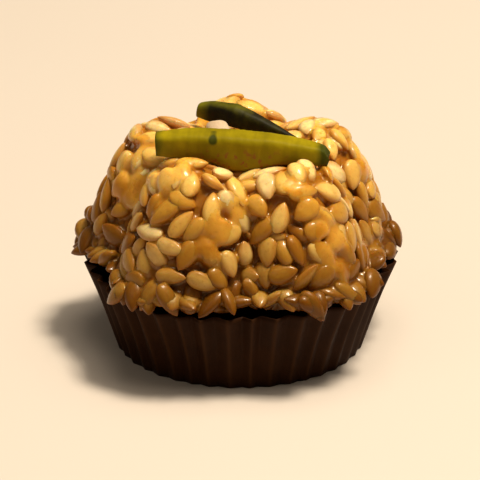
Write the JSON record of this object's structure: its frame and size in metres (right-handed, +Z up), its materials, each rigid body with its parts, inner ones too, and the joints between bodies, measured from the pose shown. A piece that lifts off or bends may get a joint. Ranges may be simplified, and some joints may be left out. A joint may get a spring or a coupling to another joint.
{
  "type": "sesame brittle sweet",
  "caption": "Small flower-shaped sesame brittle sweet, domed with rounded lobes and a dimple that holds nut slivers, standing in a flared pleated paper case.",
  "frame": {"origin": "centre of the paper case's flat underside", "axes": "+Z up through the middle of the flower, +X to the right and +Y to the back as the picture shows the sweet"},
  "size_m": [0.0348, 0.0351, 0.0255],
  "materials": {
    "sesame": "glossy toasted seeds bound in amber caramel",
    "pistachio": "cut nut flesh, dull yellow green",
    "pistachio_skin": "nut skin, dark green to purple brown",
    "almond": "blanched nut, dull cream",
    "case_paper": "dark brown greaseproof paper, faintly shiny"
  },
  "bodies": {
    "root": {"sesame_flower": "sesame", "pistachio_sliver_front": "pistachio", "pistachio_sliver_back": "pistachio_skin", "almond_sliver": "almond", "paper_case": "case_paper"}
  },
  "joints": []
}
